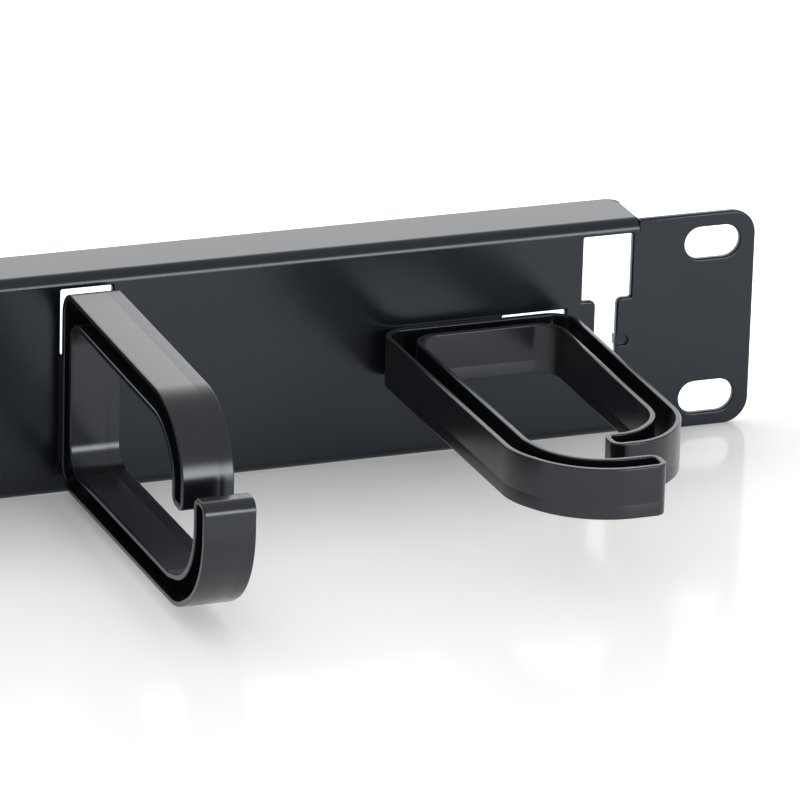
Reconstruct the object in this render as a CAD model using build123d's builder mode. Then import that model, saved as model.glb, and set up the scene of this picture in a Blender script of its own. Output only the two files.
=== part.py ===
"""Rack cable management panel: a folded 19-inch panel with five moulded cable rings.

Lengths are in millimetres. x runs along the panel, to the right seen from the front,
y runs back into the rack, and z runs up. The origin is the middle of the panel's front
face, which is also the middle of the four rack slots.
"""

import os

from build123d import *

os.makedirs("parts", exist_ok=True)

# Rack slots in the ears, on the standard 19-inch pattern
slot_pitch_x = 465.1
slot_pitch_z = 31.75
slot_length = 11.45
slot_height = 6.45
slot_edge = 8.95

# Panel: one rack unit of coated sheet steel, its top and bottom edges folded back
panel_height = 43.85
sheet = 1.55
bend_radius = 2.15
flange_depth = 13.85
flange_corner = 2.2
ear_width = 24.3
ear_corner = 5.0
ear_inner_corner = 1.0
relief_width = 0.5
relief_depth = 2.4

# Keyholes: a window that a ring's foot goes in by, above a neck that it slides down
spare_keyhole_inset = 30.7
end_keyhole_inset = 58.4
keyhole_top = 19.25
window_width = 10.1
window_height = 13.0
neck_width = 4.4
neck_length = 14.1
shoulder_radius = 1.2

# Stop tab: a tongue beside the neck, half sheared back, that the foot snaps over
tab_reach = 2.6
tab_height = 2.0
tab_drop = 7.75
tab_chamfer = 0.55
tab_shear = 0.6

# Cable ring: an open hook whose two tips pass one in front of the other
ring_height = 39.5
ring_reach = 82.05
ring_width = 9.85
ring_rise = 0.3
rear_corner = 5.5
rear_inner_corner = 4.3
arm_lean = 0.013
arm_thickness = 5.5
base_thickness = 5.9
tip_thickness = 5.95
tip_corner = 2.2

# Upper arm: a tight bend into the inner tip
mouth = 6.1
inner_tip_end = 0.45
upper_knee_setback = 8.45
upper_knee_radius = 16.6
upper_toe_inset = 9.35
upper_toe_radius = 11.4
upper_inner_knee_setback = 5.7
upper_inner_knee_radius = 11.4
upper_inner_toe_inset = 6.9
upper_inner_toe_radius = 7.0

# Lower arm: a long bend into the outer tip
outer_tip_end = 6.5
lower_knee_setback = 14.4
lower_knee_radius = 14.8
lower_toe_inset = 8.2
lower_toe_radius = 18.6
lower_inner_knee_setback = 13.7
lower_inner_knee_radius = 7.9
lower_inner_toe_inset = 3.3
lower_inner_toe_radius = 13.2

# Section of the ring: two walls joined by a web, with a channel on each side
wall = 1.1
rear_wall = 1.4
deep_channel = 5.7
web = 1.4

# Foot: a neck through the sheet and a head behind it
foot_clearance = 0.15
head_gap = 0.1
head_thickness = 2.2
head_side_gap = 0.2
head_end_gap = 0.45
foot_chamfer = 0.8
pocket_gap = 0.3
pocket_depth = 0.75

panel_width = slot_pitch_x + 2 * slot_edge
flange_length = panel_width - 2 * ear_width
half_height = panel_height / 2
half_flange = flange_length / 2
spare_keyhole_x = panel_width / 2 - spare_keyhole_inset
end_keyhole_x = panel_width / 2 - end_keyhole_inset
keyhole_pitch = spare_keyhole_x / 2
shoulder = keyhole_top - window_height
keyhole_bottom = shoulder - neck_length
half_window = window_width / 2
half_neck = neck_width / 2


def upright(x):
    """Plane of an upright keyhole: its y is up and its z points out of the front face."""
    return Plane(origin=(x, 0, 0), x_dir=(1, 0, 0), z_dir=(0, -1, 0))


def turned(x, side):
    """Plane of a keyhole lying on its side, with its window towards the panel's end."""
    return Plane(origin=(x * side, 0, 0), x_dir=(0, 0, -side), z_dir=(0, -1, 0))


ring_seats = {
    "ring_left_end": turned(end_keyhole_x, -1),
    "ring_left": upright(-keyhole_pitch),
    "ring_middle": upright(0),
    "ring_right": upright(keyhole_pitch),
    "ring_right_end": turned(end_keyhole_x, 1),
}
spare_seats = [upright(-spare_keyhole_x), upright(spare_keyhole_x)]
seats = list(ring_seats.values()) + spare_seats

# Outline of a keyhole on its own plane
keyhole_outline = [
    (-half_window, keyhole_top),
    (half_window, keyhole_top),
    (half_window, shoulder),
    (half_neck, shoulder),
    (half_neck, keyhole_bottom),
    (-half_neck, keyhole_bottom),
    (-half_neck, shoulder),
    (-half_window, shoulder),
]
keyhole_radii = [0, 0, 0, shoulder_radius, 0, 0, shoulder_radius, 0]

# Outline of the right ear, from the relief at the end of the top fold round to the lower one
ear_start = half_flange + relief_width
relief_end = half_height - relief_depth
ear_outline = [
    (half_flange, relief_end),
    (ear_start, relief_end),
    (ear_start, half_height),
    (panel_width / 2, half_height),
    (panel_width / 2, -half_height),
    (ear_start, -half_height),
    (ear_start, -relief_end),
    (half_flange, -relief_end),
]
ear_radii = [0, 0, ear_inner_corner, ear_corner, ear_corner, ear_inner_corner, 0, 0]

# Outline of the stop tab, from the neck's edge out to its narrowed end
tab_top = shoulder - tab_drop
tab_bottom = tab_top - tab_height
tab_end = half_neck + tab_reach
tab_outline = [
    (half_neck, tab_top),
    (tab_end - tab_chamfer, tab_top),
    (tab_end, tab_top - tab_chamfer),
    (tab_end, tab_bottom + tab_chamfer),
    (tab_end - tab_chamfer, tab_bottom),
    (half_neck, tab_bottom),
]

with BuildPart() as panel:
    # The folded channel: front face, top flange and bottom flange in one section
    with BuildSketch(Plane.YZ):
        with BuildLine():
            FilletPolyline(
                (flange_depth, half_height),
                (0, half_height),
                (0, -half_height),
                (flange_depth, -half_height),
                (flange_depth, -half_height + sheet),
                (sheet, -half_height + sheet),
                (sheet, half_height - sheet),
                (flange_depth, half_height - sheet),
                radius=[0, bend_radius, bend_radius, 0, 0, bend_radius - sheet, bend_radius - sheet, 0],
                close=True,
            )
        make_face()
    extrude(amount=half_flange, both=True)
    fillet(panel.edges().filter_by(Axis.Z).group_by(Axis.Y)[-1], radius=flange_corner)
    # The flat ears beyond the flanges, cut free from the folds by narrow reliefs
    with BuildSketch(Plane.XZ):
        with BuildLine():
            FilletPolyline(*ear_outline, radius=ear_radii, close=True)
        make_face()
        mirror(about=Plane.YZ)
    extrude(amount=-sheet)
    # The rack slots
    with BuildSketch(Plane.XZ):
        with GridLocations(slot_pitch_x, slot_pitch_z, 2, 2):
            SlotOverall(slot_length, slot_height)
    extrude(amount=-sheet, mode=Mode.SUBTRACT)
    # The keyholes
    with BuildSketch(*seats):
        with BuildLine():
            FilletPolyline(*keyhole_outline, radius=keyhole_radii, close=True)
        make_face()
    extrude(amount=-sheet, mode=Mode.SUBTRACT)
    # The stop tabs: pressed in at the front and standing out by as much at the back
    with BuildSketch(*seats):
        with BuildLine():
            Polyline(*tab_outline, close=True)
        make_face()
    extrude(amount=-tab_shear, mode=Mode.SUBTRACT)
    with BuildSketch(*[seat.offset(-sheet) for seat in seats]):
        with BuildLine():
            Polyline(*tab_outline, close=True)
        make_face()
    extrude(amount=-tab_shear)
panel.part.label = "panel"
export_step(panel.part, "parts/panel.step")

# The ring is drawn on its own plane: x up its base, y away from the panel, z to its far side
half_ring = ring_height / 2
half_ring_width = ring_width / 2
inner_tip_front = ring_reach - tip_thickness - mouth
inner_tip_back = inner_tip_front - tip_thickness
outer_tip_back = ring_reach - tip_thickness
shallow_channel = ring_width - deep_channel - web


def arm_face(y, inset):
    """Half the ring's height at the distance y from the panel, less an inset."""
    return half_ring - arm_lean * y - inset


upper_knee = inner_tip_front - upper_knee_setback
upper_inner_knee = inner_tip_back - upper_inner_knee_setback
lower_knee = ring_reach - lower_knee_setback
lower_inner_knee = outer_tip_back - lower_inner_knee_setback

with BuildSketch() as ring_outline:
    with BuildLine():
        FilletPolyline(
            (-half_ring, 0),
            (half_ring, 0),
            (arm_face(upper_knee, 0), upper_knee),
            (arm_face(upper_knee, upper_toe_inset), inner_tip_front),
            (inner_tip_end, inner_tip_front),
            (inner_tip_end, inner_tip_back),
            (arm_face(upper_inner_knee, arm_thickness + upper_inner_toe_inset), inner_tip_back),
            (arm_face(upper_inner_knee, arm_thickness), upper_inner_knee),
            (arm_face(base_thickness, arm_thickness), base_thickness),
            (-arm_face(base_thickness, arm_thickness), base_thickness),
            (-arm_face(lower_inner_knee, arm_thickness), lower_inner_knee),
            (-arm_face(lower_inner_knee, arm_thickness + lower_inner_toe_inset), outer_tip_back),
            (outer_tip_end, outer_tip_back),
            (outer_tip_end, ring_reach),
            (-arm_face(lower_knee, lower_toe_inset), ring_reach),
            (-arm_face(lower_knee, 0), lower_knee),
            radius=[
                rear_corner,
                rear_corner,
                upper_knee_radius,
                upper_toe_radius,
                tip_corner,
                tip_corner,
                upper_inner_toe_radius,
                upper_inner_knee_radius,
                rear_inner_corner,
                rear_inner_corner,
                lower_inner_knee_radius,
                lower_inner_toe_radius,
                tip_corner,
                tip_corner,
                lower_toe_radius,
                lower_knee_radius,
            ],
            close=True,
        )
    make_face()

# What the channels take away: the outline less the walls, which are thicker at the rear
with BuildSketch() as ring_hollow:
    add(ring_outline.sketch)
    offset(amount=-wall, mode=Mode.REPLACE)
    with Locations((0, rear_wall / 2)):
        Rectangle(ring_height, rear_wall, mode=Mode.SUBTRACT)

# The keyhole's own plane seen from the ring, and the back of the sheet
foot_plane = Plane(origin=(-ring_rise, 0, 0), x_dir=(0, 0, 1), z_dir=(0, 1, 0))
head_front = -sheet - head_gap
head_width = window_width - 2 * head_side_gap
head_height = window_height - head_end_gap
head_foot = keyhole_bottom + foot_clearance

with BuildPart() as ring:
    with BuildSketch(Plane.XY.offset(-half_ring_width)):
        add(ring_outline.sketch)
    extrude(amount=ring_width)
    with BuildSketch(Plane.XY.offset(-half_ring_width)):
        add(ring_hollow.sketch)
    extrude(amount=deep_channel, mode=Mode.SUBTRACT)
    with BuildSketch(Plane.XY.offset(half_ring_width)):
        add(ring_hollow.sketch)
    extrude(amount=-shallow_channel, mode=Mode.SUBTRACT)
    # The neck that stands in the keyhole's own neck
    with BuildSketch(foot_plane):
        with Locations((0, head_foot + head_height / 2)):
            Rectangle(neck_width - 2 * foot_clearance, head_height)
    extrude(amount=head_front)
    # The head behind the sheet, with its pocket for the stop tab
    with BuildSketch(foot_plane.offset(head_front)) as head:
        with Locations((0, head_foot + head_height / 2)):
            Rectangle(head_width, head_height)
        chamfer(head.vertices(), length=foot_chamfer)
    extrude(amount=-head_thickness)
    with BuildSketch(foot_plane.offset(head_front)):
        with Locations(((half_neck + tab_end) / 2, (tab_top + tab_bottom) / 2)):
            Rectangle(tab_reach + 2 * pocket_gap, tab_height + 2 * pocket_gap)
    extrude(amount=-pocket_depth, mode=Mode.SUBTRACT)


def ring_plane(seat):
    """Plane of the ring in a keyhole: up the keyhole, then out of the front face."""
    return Plane(origin=seat.origin + seat.y_dir * ring_rise, x_dir=seat.y_dir, z_dir=seat.x_dir)


for name, seat in ring_seats.items():
    with BuildPart() as placed_ring:
        with Locations(ring_plane(seat).location):
            add(ring.part)
    placed_ring.part.label = name
    export_step(placed_ring.part, f"parts/{name}.step")
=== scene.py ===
"""Looks, light and camera for a rack cable management panel with moulded cable rings.

Lengths are in metres unless a name says otherwise. The panel's front face is at y = 0, x runs
along it to the right, z is up, and the middle of the four rack slots is the origin.
"""

import math

import bpy
import bmesh
from mathutils import Matrix, Vector


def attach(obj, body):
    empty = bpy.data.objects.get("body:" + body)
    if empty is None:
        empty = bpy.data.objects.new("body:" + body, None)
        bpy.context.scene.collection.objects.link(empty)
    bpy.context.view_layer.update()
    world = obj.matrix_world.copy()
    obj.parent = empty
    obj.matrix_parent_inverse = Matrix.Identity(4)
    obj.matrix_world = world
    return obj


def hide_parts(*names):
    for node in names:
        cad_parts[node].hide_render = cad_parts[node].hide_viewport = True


MM = 0.001
merge_distance = 0.002 * MM
close_by = 0.1 * MM

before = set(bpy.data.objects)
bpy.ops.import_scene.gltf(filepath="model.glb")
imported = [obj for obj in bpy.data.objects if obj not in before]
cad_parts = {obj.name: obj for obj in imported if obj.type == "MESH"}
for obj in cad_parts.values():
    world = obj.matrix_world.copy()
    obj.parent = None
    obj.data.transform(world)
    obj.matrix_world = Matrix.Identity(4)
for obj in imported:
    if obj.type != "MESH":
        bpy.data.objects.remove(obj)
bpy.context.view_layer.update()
scene = bpy.context.scene
scene.view_settings.view_transform = "Standard"

# Panel sizes
panel_width = 483.0 * MM
panel_height = 43.85 * MM
half_flange = 217.2 * MM
relief_width = 0.5 * MM
relief_floor = panel_height / 2 - 2.4 * MM
closed_relief = 0.15 * MM
ear_inner_corner = 1.0 * MM
softening = 0.45 * MM
slight_softness = 0.3
slot_x = 232.55 * MM

# Keyholes and rings
spare_keyhole_x = 210.8 * MM
end_keyhole_x = 183.1 * MM
ring_rise = 0.3 * MM

# A keyhole's stop tab: its reach along the neck from the ring's middle, and beside the neck
tab_along = (-4.1 * MM, -1.5 * MM)
tab_beside = (1.9 * MM, 5.1 * MM)

# Cable ring, on its own plane: x up its base, y away from the panel, z to its far side
ring_height = 39.5 * MM
ring_reach = 82.05 * MM
ring_width = 9.85 * MM
rear_corner = 5.5 * MM
rear_inner_corner = 4.3 * MM
arm_lean = 0.013
arm_thickness = 5.5 * MM
base_thickness = 5.9 * MM
tip_thickness = 5.95 * MM
tip_corner = 2.2 * MM
mouth = 6.1 * MM

# Arm that ends in the inner tip: setbacks from the tip, insets from the arm, and radii
inner_tip_end = 0.45 * MM
upper_knee_setback = 8.45 * MM
upper_knee_radius = 16.6 * MM
upper_toe_inset = 9.35 * MM
upper_toe_radius = 11.4 * MM
upper_inner_knee_setback = 5.7 * MM
upper_inner_knee_radius = 11.4 * MM
upper_inner_toe_inset = 6.9 * MM
upper_inner_toe_radius = 7.0 * MM

# Arm that ends in the outer tip, in the same way
outer_tip_end = 6.5 * MM
lower_knee_setback = 14.4 * MM
lower_knee_radius = 14.8 * MM
lower_toe_inset = 8.2 * MM
lower_toe_radius = 18.6 * MM
lower_inner_knee_setback = 13.7 * MM
lower_inner_knee_radius = 7.9 * MM
lower_inner_toe_inset = 3.3 * MM
lower_inner_toe_radius = 13.2 * MM

# Wall of the ring, its two channels and the fine detail of the moulding
wall = 1.1 * MM
rear_wall = 1.4 * MM
deep_channel = 5.7 * MM
web = 1.4 * MM
rim_radius = 0.24 * MM
rim_run = 0.12 * MM
draft = 0.004 * MM
seam_depth = 0.008 * MM
seam_width = 0.1 * MM

# Foot behind the ring
foot_softening = 0.15 * MM


# Node helpers


def node_group(name, sizes):
    """A geometry tree with a geometry input, named size inputs and a geometry output."""
    tree = bpy.data.node_groups.new(name, "GeometryNodeTree")
    tree.interface.new_socket("Geometry", in_out="INPUT", socket_type="NodeSocketGeometry")
    for size in sizes:
        tree.interface.new_socket(size, in_out="INPUT", socket_type="NodeSocketFloat")
    tree.interface.new_socket("Geometry", in_out="OUTPUT", socket_type="NodeSocketGeometry")
    return tree


def add_node(tree, kind, **settings):
    """A node of this kind, with its settings and its unlinked inputs by name or number."""
    node = tree.nodes.new(kind)
    inputs = settings.pop("inputs", {})
    for key, value in settings.items():
        setattr(node, key, value)
    for key, value in inputs.items():
        if isinstance(value, bpy.types.NodeSocket):
            tree.links.new(value, node.inputs[key])
        else:
            node.inputs[key].default_value = value
    return node


def maths(tree, operation, *values):
    """The result of a math node on numbers or sockets."""
    return add_node(tree, "ShaderNodeMath", operation=operation, inputs=dict(enumerate(values))).outputs[0]


# The ring's outline and the section of its wall


def arm_face(y, inset):
    """Half the ring's height at the distance y from the panel, less an inset."""
    return ring_height / 2 - arm_lean * y - inset


def ring_corners():
    """Corners of the ring's outline with their radii, anticlockwise from the lower rear."""
    tip_front = ring_reach - tip_thickness - mouth
    tip_back = tip_front - tip_thickness
    hook_back = ring_reach - tip_thickness
    upper_knee = tip_front - upper_knee_setback
    upper_inner_knee = tip_back - upper_inner_knee_setback
    lower_knee = ring_reach - lower_knee_setback
    lower_inner_knee = hook_back - lower_inner_knee_setback
    upper_inner_toe = arm_thickness + upper_inner_toe_inset
    lower_inner_toe = arm_thickness + lower_inner_toe_inset
    return [
        (-ring_height / 2, 0, rear_corner),
        (ring_height / 2, 0, rear_corner),
        (arm_face(upper_knee, 0), upper_knee, upper_knee_radius),
        (arm_face(upper_knee, upper_toe_inset), tip_front, upper_toe_radius),
        (inner_tip_end, tip_front, tip_corner),
        (inner_tip_end, tip_back, tip_corner),
        (arm_face(upper_inner_knee, upper_inner_toe), tip_back, upper_inner_toe_radius),
        (arm_face(upper_inner_knee, arm_thickness), upper_inner_knee, upper_inner_knee_radius),
        (arm_face(base_thickness, arm_thickness), base_thickness, rear_inner_corner),
        (-arm_face(base_thickness, arm_thickness), base_thickness, rear_inner_corner),
        (-arm_face(lower_inner_knee, arm_thickness), lower_inner_knee, lower_inner_knee_radius),
        (-arm_face(lower_inner_knee, lower_inner_toe), hook_back, lower_inner_toe_radius),
        (outer_tip_end, hook_back, tip_corner),
        (outer_tip_end, ring_reach, tip_corner),
        (-arm_face(lower_knee, lower_toe_inset), ring_reach, lower_toe_radius),
        (-arm_face(lower_knee, 0), lower_knee, lower_knee_radius),
    ]


def rounded_loop(corners, turn=math.radians(3.0), lead=0.25 * MM):
    """Points round a closed loop of corners, each rounded to its radius.

    A point just before and after each round keeps the shading of the straights flat.
    """
    points = []
    for i, (x, y, radius) in enumerate(corners):
        corner = Vector((x, y))
        before = (Vector(corners[i - 1][:2]) - corner).normalized()
        after = (Vector(corners[(i + 1) % len(corners)][:2]) - corner).normalized()
        half = before.angle(after) / 2
        reach = radius / math.tan(half)
        start = corner + before * reach
        end = corner + after * reach
        centre = corner + (before + after).normalized() * radius / math.sin(half)
        first = math.atan2(start.y - centre.y, start.x - centre.x)
        sweep = math.atan2(end.y - centre.y, end.x - centre.x) - first
        sweep = (sweep + math.pi) % (2 * math.pi) - math.pi
        steps = max(4, round(abs(sweep) / turn))
        points.append(start + before * lead)
        for k in range(steps + 1):
            angle = first + sweep * k / steps
            points.append(centre + Vector((math.cos(angle), math.sin(angle))) * radius)
        points.append(end + after * lead)
    return [Vector((p.x, p.y, 0)) for p in points]


def wall_section():
    """The wall's section, from one channel's floor over both rims to the other channel's floor.

    x runs from 0 at the parting line on the outside to 1 at the channel, and y is the height
    across the ring. The outside leans in by the draft from the parting line to each rim.
    """
    low = -ring_width / 2
    high = ring_width / 2
    seam = low + deep_channel + web
    rim = rim_radius / wall
    lean = draft / wall
    dip = seam_depth / wall
    flat_end = rim_radius + rim_run
    steps = 5

    def over_rim(edge, side):
        points = []
        for centre, first in ((1 - rim, 0), (lean + rim, 90)):
            for k in range(steps + 1):
                angle = math.radians(first + 90 * k / steps)
                height = edge + side * rim_radius * (math.sin(angle) - 1)
                points.append((centre + rim * math.cos(angle), height))
        return points

    return (
        [(1, low + deep_channel), (1, low + flat_end)]
        + over_rim(low, -1)
        + [(lean, low + flat_end), (0, seam - seam_width)]
        + [(dip, seam - seam_width / 4), (dip, seam + seam_width / 4)]
        + [(0, seam + seam_width), (lean, high - flat_end)]
        + list(reversed(over_rim(high, 1)))
        + [(1, high - flat_end), (1, seam)]
    )


def line_object(name, points, closed):
    """An object whose mesh is one line of edges through the points."""
    edges = [(i, i + 1) for i in range(len(points) - 1)]
    if closed:
        edges.append((len(points) - 1, 0))
    mesh = bpy.data.meshes.new(name)
    mesh.from_pydata([tuple(p) for p in points], edges, [])
    line = bpy.data.objects.new(name, mesh)
    scene.collection.objects.link(line)
    return line


def ring_tree():
    """Sweeps the wall's section round the outline and closes the channels with the web."""
    tree = node_group("moulded ring", ["Wall", "Rear Wall", "Deep Channel", "Web", "Ring Width"])
    tree.interface.new_socket("Section", in_out="INPUT", socket_type="NodeSocketObject")
    tree.interface.new_socket("Plastic", in_out="INPUT", socket_type="NodeSocketMaterial")
    given = add_node(tree, "NodeGroupInput").outputs
    position = add_node(tree, "GeometryNodeInputPosition").outputs[0]
    # The outline, and the same line inset by the wall, which is thicker at the rear
    outline = add_node(tree, "GeometryNodeMeshToCurve", inputs={0: given["Geometry"]})
    outline = add_node(tree, "GeometryNodeSetCurveNormal", mode="Z_UP", inputs={0: outline.outputs[0]})
    normal = add_node(tree, "GeometryNodeInputNormal").outputs["Normal"]
    outward = add_node(
        tree, "ShaderNodeVectorMath", operation="SCALE", inputs={0: normal, "Scale": given["Wall"]}
    )
    inset = add_node(
        tree, "ShaderNodeVectorMath", operation="SUBTRACT", inputs={0: position, 1: outward.outputs[0]}
    )
    inset = add_node(tree, "ShaderNodeSeparateXYZ", inputs={0: inset.outputs[0]}).outputs
    rear = maths(tree, "MAXIMUM", inset["Y"], given["Rear Wall"])
    inside = add_node(tree, "ShaderNodeCombineXYZ", inputs={0: inset["X"], 1: rear})
    lines = tree.nodes.new("GeometryNodeCaptureAttribute")
    lines.capture_items.new("VECTOR", "Outside")
    lines.capture_items.new("VECTOR", "Inside")
    tree.links.new(outline.outputs[0], lines.inputs["Geometry"])
    tree.links.new(position, lines.inputs["Outside"])
    tree.links.new(inside.outputs[0], lines.inputs["Inside"])
    # The section says how far each point lies from the outside to the inside, and its height
    section = add_node(tree, "GeometryNodeObjectInfo", inputs={"Object": given["Section"]})
    section = add_node(tree, "GeometryNodeMeshToCurve", inputs={0: section.outputs["Geometry"]})
    places = tree.nodes.new("GeometryNodeCaptureAttribute")
    places.capture_items.new("VECTOR", "Place")
    tree.links.new(section.outputs[0], places.inputs["Geometry"])
    tree.links.new(position, places.inputs["Place"])
    sweep = add_node(tree, "GeometryNodeCurveToMesh", inputs={0: lines.outputs[0], 1: places.outputs[0]})
    place = add_node(tree, "ShaderNodeSeparateXYZ", inputs={0: places.outputs["Place"]}).outputs
    between = add_node(tree, "ShaderNodeMix", data_type="VECTOR", clamp_factor=False)
    tree.links.new(place["X"], between.inputs[0])
    tree.links.new(lines.outputs["Outside"], between.inputs[4])
    tree.links.new(lines.outputs["Inside"], between.inputs[5])
    height = add_node(tree, "ShaderNodeCombineXYZ", inputs={2: place["Y"]})
    walls = add_node(
        tree,
        "GeometryNodeSetPosition",
        inputs={0: sweep.outputs[0], "Position": between.outputs[1], "Offset": height.outputs[0]},
    )
    # The web between the two channels
    line = add_node(
        tree, "GeometryNodeSetPosition", inputs={0: lines.outputs[0], "Position": lines.outputs["Inside"]}
    )
    floor = add_node(tree, "GeometryNodeFillCurve", inputs={0: line.outputs[0]})
    near = maths(tree, "SUBTRACT", given["Deep Channel"], maths(tree, "MULTIPLY", given["Ring Width"], 0.5))
    far = maths(tree, "ADD", near, given["Web"])
    parts = [walls.outputs[0]]
    for level in (near, far):
        lift = add_node(tree, "ShaderNodeCombineXYZ", inputs={2: level})
        face = add_node(
            tree, "GeometryNodeTransform", inputs={0: floor.outputs[0], "Translation": lift.outputs[0]}
        )
        parts.append(face.outputs[0])
    whole = add_node(tree, "GeometryNodeJoinGeometry")
    for part in parts:
        tree.links.new(part, whole.inputs[0])
    merged = add_node(
        tree, "GeometryNodeMergeByDistance", inputs={0: whole.outputs[0], "Distance": merge_distance}
    )
    real = add_node(tree, "GeometryNodeRealizeInstances", inputs={0: merged.outputs[0]})
    dressed = add_node(
        tree, "GeometryNodeSetMaterial", inputs={0: real.outputs[0], "Material": given["Plastic"]}
    )
    add_node(tree, "NodeGroupOutput", inputs={0: dressed.outputs[0]})
    return tree


def made_mesh(source, tree, values):
    """The plain mesh that a geometry tree makes of an object, which is then removed."""
    modifier = source.modifiers.new("tree", "NODES")
    modifier.node_group = tree
    for socket in tree.interface.items_tree:
        if socket.name in values:
            modifier[socket.identifier] = values[socket.name]
    made = source.evaluated_get(bpy.context.evaluated_depsgraph_get())
    mesh = bpy.data.meshes.new_from_object(made)
    bpy.data.objects.remove(source)
    return mesh


def ring_mesh(plastic):
    """One moulded ring on its own plane, without its foot."""
    outline = line_object("ring outline", rounded_loop(ring_corners()), True)
    section = line_object("wall section", [(x, y, 0) for x, y in wall_section()], False)
    values = {
        "Wall": wall,
        "Rear Wall": rear_wall,
        "Deep Channel": deep_channel,
        "Web": web,
        "Ring Width": ring_width,
        "Section": section,
        "Plastic": plastic,
    }
    mesh = made_mesh(outline, ring_tree(), values)
    bpy.data.objects.remove(section)
    return mesh


def seat(along, up, x):
    """Matrix of a ring on the keyhole at x: its base runs along, and its far side faces up."""
    along = Vector(along)
    out = Vector((0, -1, 0))
    origin = Vector((x, 0, 0)) + along * ring_rise
    return Matrix.Translation(origin) @ Matrix((along, out, Vector(up))).transposed().to_4x4()


ring_seats = {
    "ring_left_end": seat((-1, 0, 0), (0, 0, 1), -end_keyhole_x),
    "ring_left": seat((0, 0, 1), (1, 0, 0), -spare_keyhole_x / 2),
    "ring_middle": seat((0, 0, 1), (1, 0, 0), 0),
    "ring_right": seat((0, 0, 1), (1, 0, 0), spare_keyhole_x / 2),
    "ring_right_end": seat((1, 0, 0), (0, 0, -1), end_keyhole_x),
}
spare_seats = [seat((0, 0, 1), (1, 0, 0), side * spare_keyhole_x) for side in (-1, 1)]
keyholes = list(ring_seats.values()) + spare_seats


def sharp_edges(mesh_data, angle):
    """Edges of a bmesh between two faces that turn by more than the angle."""
    return [e for e in mesh_data.edges if len(e.link_faces) == 2 and e.calc_face_angle(0) > angle]


def cad_copy(node):
    """A merged bmesh of a CAD node, its outside facing out."""
    solid = bmesh.new()
    solid.from_mesh(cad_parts[node].data)
    bmesh.ops.remove_doubles(solid, verts=solid.verts, dist=merge_distance)
    return solid


def foot_into(target, node):
    """Adds the CAD foot of a ring, the part behind the panel's front face, to a bmesh."""
    foot = cad_copy(node)
    ahead = [f for f in foot.faces if f.calc_center_median().y < merge_distance]
    bmesh.ops.delete(foot, geom=ahead, context="FACES")
    corners = [e for e in sharp_edges(foot, math.radians(60)) if min(v.co.y for v in e.verts) > close_by]
    bmesh.ops.bevel(foot, geom=corners, offset=foot_softening, segments=2, profile=0.5, affect="EDGES")
    mesh = bpy.data.meshes.new("foot")
    foot.to_mesh(mesh)
    foot.free()
    target.from_mesh(mesh)
    bpy.data.meshes.remove(mesh)


def add_piece(name, mesh, node):
    """Links a finished mesh as the piece that stands for a CAD node."""
    piece = bpy.data.objects.new(name, mesh)
    scene.collection.objects.link(piece)
    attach(piece, "root")
    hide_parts(node)
    return piece


def add_rings(plastic):
    """The five rings, each the same moulding on its own keyhole."""
    moulding = ring_mesh(plastic)
    for node, place in ring_seats.items():
        whole = bmesh.new()
        whole.from_mesh(moulding)
        bmesh.ops.recalc_face_normals(whole, faces=whole.faces)
        bmesh.ops.transform(whole, matrix=place, verts=whole.verts)
        foot_into(whole, node)
        mesh = bpy.data.meshes.new(node)
        whole.to_mesh(mesh)
        whole.free()
        mesh.materials.clear()
        mesh.materials.append(plastic)
        mesh.shade_smooth()
        mesh.set_sharp_from_angle(angle=math.radians(40))
        add_piece("moulded_" + node, mesh, node)
    bpy.data.meshes.remove(moulding)


def edge_softness(point):
    """How far the coating rounds the edge at a point: less on fold ends and stop tabs, not in a relief."""
    out = abs(point.x) - half_flange
    up = abs(point.z) - relief_floor
    if abs(out) < close_by and up > close_by:
        return slight_softness
    if -close_by < out < closed_relief + close_by and up > -close_by:
        return 0.0
    for place in keyholes:
        local = place.inverted() @ point
        if tab_along[0] < local.x < tab_along[1] and tab_beside[0] < local.z < tab_beside[1]:
            return slight_softness
    return 1.0


def close_reliefs(solid):
    """Brings each ear's inner corner up to the fold's end, so that the relief is only a dark joint."""
    for vert in solid.verts:
        out = abs(vert.co.x) - half_flange
        up = abs(vert.co.z) - relief_floor
        if relief_width - close_by < out < relief_width + ear_inner_corner + close_by and up > -close_by:
            vert.co.x = math.copysign(half_flange + closed_relief, vert.co.x)
            if up > close_by:
                vert.co.z = math.copysign(panel_height / 2, vert.co.z)
    bmesh.ops.remove_doubles(solid, verts=solid.verts, dist=merge_distance)


def add_panel(coating):
    """The panel with its sheared edges softened by the coating.

    The flat faces are cut through every opening, so that no face has a hole in it.
    """
    solid = cad_copy("panel")
    for x in sorted([place.translation.x for place in keyholes] + [-slot_x, slot_x]):
        whole = list(solid.verts) + list(solid.edges) + list(solid.faces)
        cut = bmesh.ops.bisect_plane(
            solid, geom=whole, dist=merge_distance, plane_co=(x, 0, 0), plane_no=(1, 0, 0)
        )
        for edge in cut["geom_cut"]:
            if isinstance(edge, bmesh.types.BMEdge):
                edge.seam = True
    bmesh.ops.dissolve_limit(
        solid, angle_limit=math.radians(0.5), verts=solid.verts, edges=solid.edges, delimit={"SEAM"}
    )
    close_reliefs(solid)
    softness = solid.edges.layers.float.new("bevel_weight_edge")
    for edge in sharp_edges(solid, math.radians(40)):
        edge[softness] = edge_softness((edge.verts[0].co + edge.verts[1].co) / 2)
    mesh = bpy.data.meshes.new("coated_panel")
    solid.to_mesh(mesh)
    solid.free()
    mesh.materials.append(coating)
    piece = add_piece("coated_panel", mesh, "panel")
    softened = piece.modifiers.new("coated edges", "BEVEL")
    softened.width = softening
    softened.segments = 4
    softened.limit_method = "WEIGHT"
    softened.use_clamp_overlap = False
    mesh.shade_smooth()
    evened = piece.modifiers.new("even shading", "WEIGHTED_NORMAL")
    evened.weight = 100


# Finishes

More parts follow.
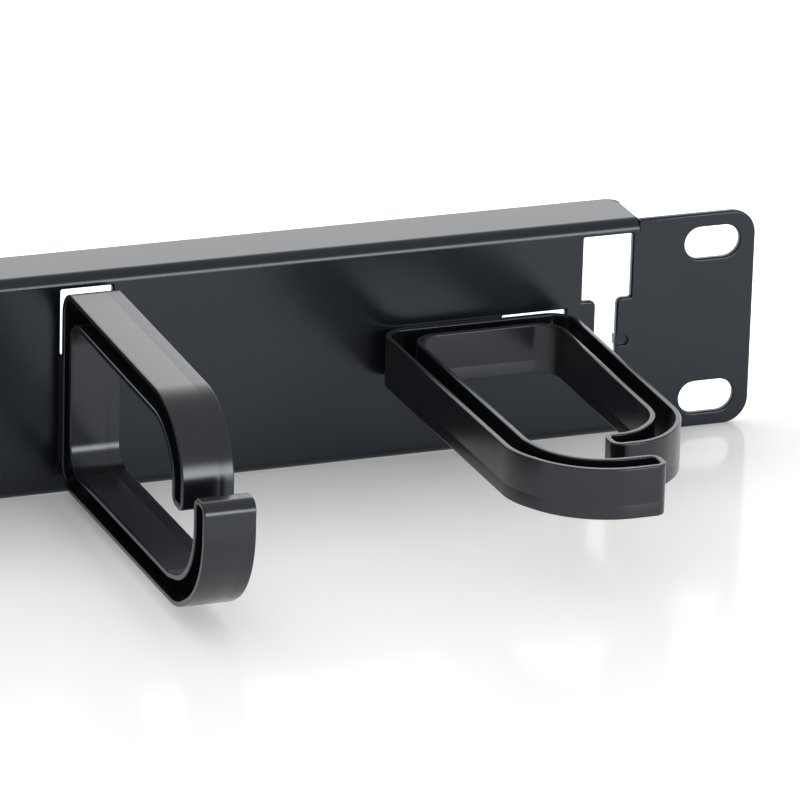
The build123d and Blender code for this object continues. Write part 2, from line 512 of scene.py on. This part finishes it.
# Glow of the floor where it is seen: at the panel, and what it gains at a distance from it. The weaker
# glow at the panel's front is painted shade on the floor, added to the panel's real shadow there.
glow_in_painted_shade = 0.13
painted_shade_fade = (0.05, 0.2)
behind_glow = (0.005, 0.75)


def material(name):
    """An empty material with its output and a Principled shader."""
    made = bpy.data.materials.new(name)
    made.use_nodes = True
    return made, made.node_tree, made.node_tree.nodes["Principled BSDF"]


def powder_coating():
    """Black powder coating: satin, with a fine orange peel and a slightly uneven tone."""
    made, tree, shader = material("black powder coating")
    place = add_node(tree, "ShaderNodeTexCoord").outputs["Object"]
    tone = add_node(tree, "ShaderNodeTexNoise", inputs={"Vector": place, "Scale": 60.0, "Detail": 4.0})
    colour = add_node(tree, "ShaderNodeMix", data_type="RGBA")
    tree.links.new(tone.outputs["Fac"], colour.inputs[0])
    colour.inputs[6].default_value = (0.004, 0.0055, 0.0085, 1)
    colour.inputs[7].default_value = (0.0055, 0.0075, 0.011, 1)
    tree.links.new(colour.outputs[2], shader.inputs["Base Color"])
    gloss = add_node(
        tree, "ShaderNodeMapRange", inputs={"Value": tone.outputs["Fac"], "To Min": 0.19, "To Max": 0.25}
    )
    tree.links.new(gloss.outputs[0], shader.inputs["Roughness"])
    shader.inputs["Specular IOR Level"].default_value = 0.5
    shader.inputs["Specular Tint"].default_value = (0.84, 0.92, 1.0, 1)
    peel = add_node(tree, "ShaderNodeTexNoise", inputs={"Vector": place, "Scale": 900.0, "Detail": 3.0})
    bump = add_node(
        tree,
        "ShaderNodeBump",
        inputs={"Strength": 0.12, "Distance": 0.05 * MM, "Height": peel.outputs["Fac"]},
    )
    tree.links.new(bump.outputs[0], shader.inputs["Normal"])
    return made


def moulded_plastic():
    """Black moulded plastic: glossy, with faint flow marks."""
    made, tree, shader = material("black moulded plastic")
    place = add_node(tree, "ShaderNodeTexCoord").outputs["Object"]
    flow = add_node(tree, "ShaderNodeTexNoise", inputs={"Vector": place, "Scale": 160.0, "Detail": 4.0})
    colour = add_node(tree, "ShaderNodeMix", data_type="RGBA")
    tree.links.new(flow.outputs["Fac"], colour.inputs[0])
    colour.inputs[6].default_value = (0.0055, 0.006, 0.0085, 1)
    colour.inputs[7].default_value = (0.0075, 0.008, 0.0105, 1)
    tree.links.new(colour.outputs[2], shader.inputs["Base Color"])
    gloss = add_node(
        tree, "ShaderNodeMapRange", inputs={"Value": flow.outputs["Fac"], "To Min": 0.19, "To Max": 0.25}
    )
    tree.links.new(gloss.outputs[0], shader.inputs["Roughness"])
    shader.inputs["Specular IOR Level"].default_value = 0.62
    shader.inputs["Specular Tint"].default_value = (0.88, 0.94, 1.0, 1)
    bump = add_node(
        tree,
        "ShaderNodeBump",
        inputs={"Strength": 0.08, "Distance": 0.1 * MM, "Height": flow.outputs["Fac"]},
    )
    tree.links.new(bump.outputs[0], shader.inputs["Normal"])
    return made


def pale_floor():
    """Pale satin floor that the camera and reflections see fade to a plain white with distance from the
    panel.

    Its emission is weakest along the panel's front: painted shade on the floor, added to the real shadow
    there.
    """
    made, tree, shader = material("pale floor")
    shader.inputs["Base Color"].default_value = (0.9, 0.9, 0.9, 1)
    shader.inputs["Roughness"].default_value = 0.13
    shader.inputs["Specular IOR Level"].default_value = 0.1
    ray = add_node(tree, "ShaderNodeLightPath").outputs
    seen = maths(tree, "MAXIMUM", ray["Is Camera Ray"], ray["Is Glossy Ray"])
    seen = maths(tree, "MAXIMUM", seen, ray["Is Transmission Ray"])
    place = add_node(tree, "ShaderNodeTexCoord").outputs["Object"]
    place = add_node(tree, "ShaderNodeSeparateXYZ", inputs={0: place}).outputs
    ahead = maths(tree, "MULTIPLY", place["Y"], -1.0)
    beside = maths(tree, "SUBTRACT", maths(tree, "ABSOLUTE", place["X"]), panel_width / 2)
    painted_shade_distance = maths(tree, "MAXIMUM", ahead, beside)
    # Least glow at the panel's front paints shade on the floor there; it rises in front, past the ends and
    # behind
    glow_with_painted_shade = glow_in_painted_shade
    for distance, full, most in ((painted_shade_distance, *painted_shade_fade), (place["Y"], *behind_glow)):
        side = add_node(
            tree,
            "ShaderNodeMapRange",
            interpolation_type="SMOOTHSTEP",
            inputs={"Value": distance, "From Min": 0.0, "From Max": full, "To Max": most},
        )
        glow_with_painted_shade = maths(tree, "ADD", glow_with_painted_shade, side.outputs[0])
    lift = maths(tree, "MULTIPLY", seen, glow_with_painted_shade)
    shader.inputs["Emission Color"].default_value = (1, 1, 1, 1)
    tree.links.new(lift, shader.inputs["Emission Strength"])
    return made


# Studio

# Least light of the room, then each light's middle, where it starts and is full as the cosine of
# the angle from that, its strength at the horizon and how fast that falls with height
least_light = 0.7
front_light = ((0.342, -0.94, 0), 0.93, 0.99, 9.6, 14.0)
back_light = ((0, 1, 0), 0.45, 0.86, 2.6, 1.4)


def light_share(tree, way, height, middle, start, full, low, fall):
    """What one light adds to the least light, by the direction and its height."""
    towards = add_node(tree, "ShaderNodeVectorMath", operation="DOT_PRODUCT", inputs={0: way, 1: middle})
    side = add_node(
        tree,
        "ShaderNodeMapRange",
        interpolation_type="SMOOTHSTEP",
        inputs={"Value": towards.outputs["Value"], "From Min": start, "From Max": full},
    )
    level = maths(tree, "MULTIPLY_ADD", height, -fall, low - least_light)
    level = maths(tree, "MAXIMUM", level, 0.0)
    return maths(tree, "MULTIPLY", level, side.outputs[0])


def soft_room():
    """A plainly lit room with a strong, narrow light in front and a broad, weaker one behind it all."""
    world = bpy.data.worlds.new("room")
    world.use_nodes = True
    tree = world.node_tree
    way = add_node(tree, "ShaderNodeTexCoord").outputs["Generated"]
    height = add_node(tree, "ShaderNodeSeparateXYZ", inputs={0: way}).outputs["Z"]
    height = maths(tree, "MAXIMUM", height, 0.0)
    total = least_light
    for light in (front_light, back_light):
        total = maths(tree, "ADD", total, light_share(tree, way, height, *light))
    background = tree.nodes["Background"]
    background.inputs[0].default_value = (1, 1, 1, 1)
    tree.links.new(total, background.inputs[1])
    return world


def add_studio():
    """Floor under the panel's lower edge, and the soft room round it."""
    mesh = bpy.data.meshes.new("floor")
    level = -panel_height / 2
    reach = 6.0
    corners = [(x * reach, y * reach, level) for x, y in ((-1, -1), (1, -1), (1, 1), (-1, 1))]
    mesh.from_pydata(corners, [], [(0, 1, 2, 3)])
    mesh.materials.append(pale_floor())
    floor = bpy.data.objects.new("floor", mesh)
    scene.collection.objects.link(floor)
    scene.world = soft_room()


# Camera

camera_azimuth = math.radians(-21.16)
camera_elevation = math.radians(20.56)
camera_roll = math.radians(-1.66)
camera_distance = 1.362
camera_aim = (0.16657, -0.00562, -0.00764)
camera_lens = 321.84


def add_camera():
    """The camera turns about the aim point, raised and turned to the left of the panel."""
    data = bpy.data.cameras.new("camera")
    data.lens = camera_lens
    data.sensor_width = 36.0
    data.clip_start = 0.05
    camera = bpy.data.objects.new("camera", data)
    turned = Matrix.Rotation(camera_azimuth, 4, "Z")
    turned = turned @ Matrix.Rotation(math.pi / 2 - camera_elevation, 4, "X")
    turned = turned @ Matrix.Rotation(-camera_roll, 4, "Z")
    back_off = Matrix.Translation((0, 0, camera_distance))
    camera.matrix_world = Matrix.Translation(camera_aim) @ turned @ back_off
    scene.collection.objects.link(camera)
    scene.camera = camera


add_camera()
add_panel(powder_coating())
add_rings(moulded_plastic())
add_studio()
